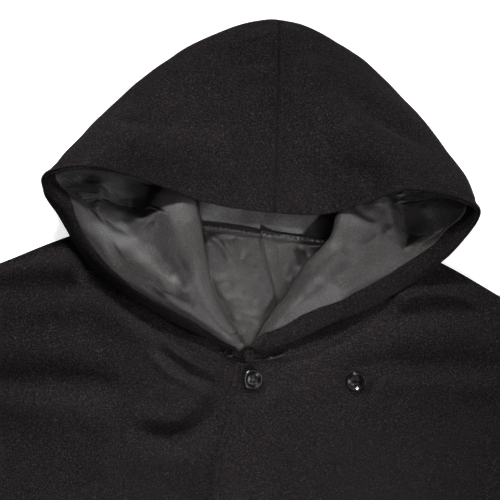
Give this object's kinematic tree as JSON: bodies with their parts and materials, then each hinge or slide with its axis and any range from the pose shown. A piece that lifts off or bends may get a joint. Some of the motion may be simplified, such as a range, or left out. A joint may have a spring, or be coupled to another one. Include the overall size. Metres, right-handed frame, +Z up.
{
  "type": "hooded poncho",
  "caption": "Hooded poncho of brushed wool-blend cloth with a satin-lined two-panel hood and a buttoned front, laid flat.",
  "frame": {"origin": "centre of the laid garment's outline, on the surface that its back lies on", "axes": "+Z up from the surface, +Y from the hem towards the hood, +X towards the wearer's left side, which is the right-hand side seen from above"},
  "size_m": [1.04, 1.062, 0.0611],
  "materials": {
    "shell": "black brushed wool-blend cloth, matt with a short nap",
    "lining": "charcoal polyester satin lining with a soft sheen",
    "button": "polished black polyester resin",
    "thread": "black polyester sewing thread"
  },
  "bodies": {
    "root": {"back": "shell", "front_left": "shell", "front_right": "shell", "hood_left": "shell", "hood_right": "shell", "hood_facing_left": "shell", "hood_facing_right": "shell", "hood_lining_left": "lining", "hood_lining_right": "lining", "back_neck_lining": "lining", "button_1": "button", "button_2": "button", "button_3": "button", "button_4": "button", "button_5": "button", "button_6": "button"}
  },
  "joints": []
}
